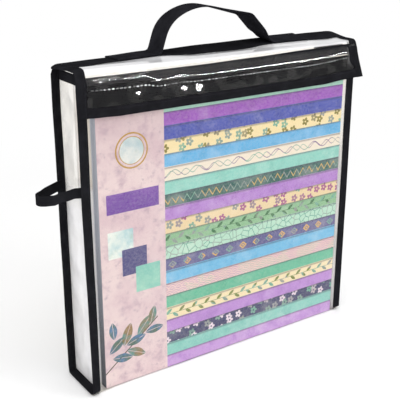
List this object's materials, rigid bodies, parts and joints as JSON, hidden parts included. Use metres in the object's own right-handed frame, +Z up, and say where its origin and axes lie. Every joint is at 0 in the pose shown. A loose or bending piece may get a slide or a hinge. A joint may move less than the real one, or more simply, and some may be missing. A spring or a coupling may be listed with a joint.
{
  "type": "paper storage case",
  "caption": "Soft clear vinyl carrying case with black tape bindings, a hook and loop flap, a webbing handle and a side strap, holding a square paper pad.",
  "frame": {"origin": "on the floor under the middle of the case's body", "axes": "+X to the right of someone facing the front, +Y to the back, +Z up"},
  "size_m": [0.3801, 0.0606, 0.3706],
  "materials": {
    "clear_vinyl": "clear glossy soft PVC sheet",
    "binding_tape": "matt black woven binding tape",
    "webbing": "matt black ribbed webbing",
    "hook_and_loop": "black hook and loop tape",
    "thread": "black sewing thread",
    "cover_print": "printed cover with coloured stripes",
    "paper": "edges of a block of white paper",
    "board": "grey backing board"
  },
  "bodies": {
    "case": {"front_panel": "clear_vinyl", "back_panel": "clear_vinyl", "base_panel": "clear_vinyl", "left_gusset": "clear_vinyl", "right_gusset": "clear_vinyl", "front_left_rim": "binding_tape", "front_right_rim": "binding_tape", "back_left_rim": "binding_tape", "back_right_rim": "binding_tape", "base_left_rim": "binding_tape", "base_right_rim": "binding_tape", "left_gusset_hem": "binding_tape", "right_gusset_hem": "binding_tape", "mouth_hem": "binding_tape", "loop_tape": "hook_and_loop"},
    "flap": {"top_panel": "clear_vinyl", "left_flap_hem": "binding_tape", "right_flap_hem": "binding_tape", "handle_band": "binding_tape", "left_handle_end": "webbing", "right_handle_end": "webbing", "handle_stitches": "thread"},
    "lip": {"lip_panel": "clear_vinyl", "left_lip_hem": "binding_tape", "right_lip_hem": "binding_tape", "lip_hem": "binding_tape", "hook_tape": "hook_and_loop", "lip_stitches": "thread"},
    "handle": {"handle_strap": "webbing"},
    "side_loop": {"side_strap": "binding_tape"},
    "pad": {"pad_cover": "cover_print", "pad_sheets": "paper", "pad_board": "board"}
  },
  "joints": [
    {"name": "flap_hinge", "type": "hinge", "parent": "case", "child": "flap", "pos_m": [0.005, 0.02725, 0.32515], "axis": [-1, 0, 0], "range_deg": [0, 135]},
    {"name": "lip_fold", "type": "hinge", "parent": "flap", "child": "lip", "pos_m": [0.005, -0.03105, 0.3147], "axis": [-1, 0, 0], "range_deg": [0, 90]},
    {"name": "handle_swing", "type": "hinge", "parent": "flap", "child": "handle", "pos_m": [0.005, 0.0128, 0.3406], "axis": [-1, 0, 0], "range_deg": [-85, 45]},
    {"name": "side_strap_swing", "type": "hinge", "parent": "case", "child": "side_loop", "pos_m": [-0.1643, 0, 0.2085], "axis": [0, 1, 0], "range_deg": [-80, 80]},
    {"name": "pad_lift", "type": "slide", "parent": "case", "child": "pad", "axis": [0, 0, 1], "range_m": [0, 0.012]}
  ]
}
